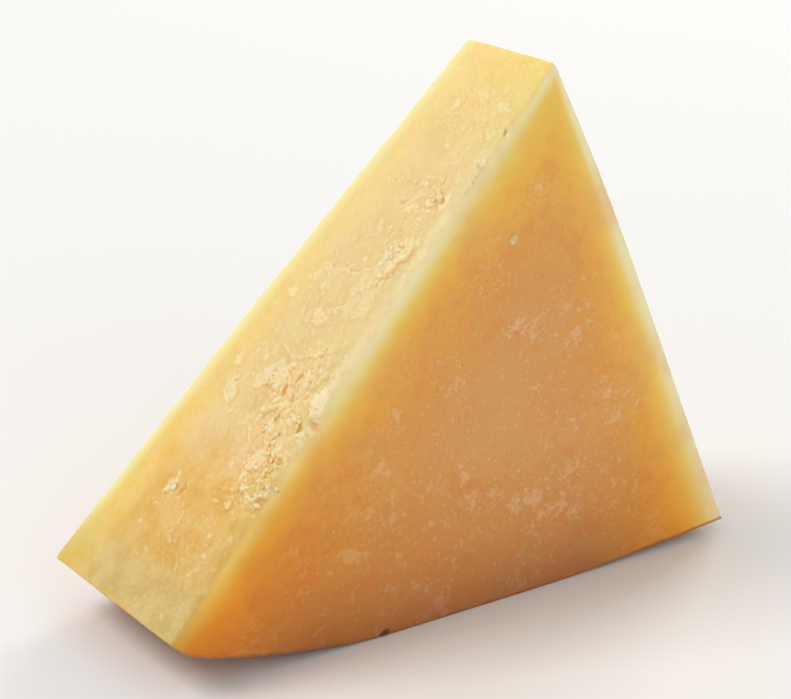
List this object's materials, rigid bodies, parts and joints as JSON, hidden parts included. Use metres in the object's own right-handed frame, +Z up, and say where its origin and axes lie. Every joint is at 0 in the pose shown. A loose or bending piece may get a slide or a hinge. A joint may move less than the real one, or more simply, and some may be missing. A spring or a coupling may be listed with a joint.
{
  "type": "parmesan chunk",
  "caption": "Triangular slab of hard aged cheese on its rind base, narrowing to a blunt tip, with a crumbly broken slope and smooth cut faces.",
  "frame": {"origin": "centre of the footprint's bounding box, on the surface the chunk stands on", "axes": "+Z up from the rind base to the tip, +X along the rind from the curled heel to the toe, -Y out of the front knife cut"},
  "size_m": [0.112, 0.0392, 0.0935],
  "materials": {
    "cheese": "straw-gold aged cheese paste, waxy cuts and a dry crumbly break"
  },
  "bodies": {
    "root": {"chunk": "cheese"}
  },
  "joints": []
}
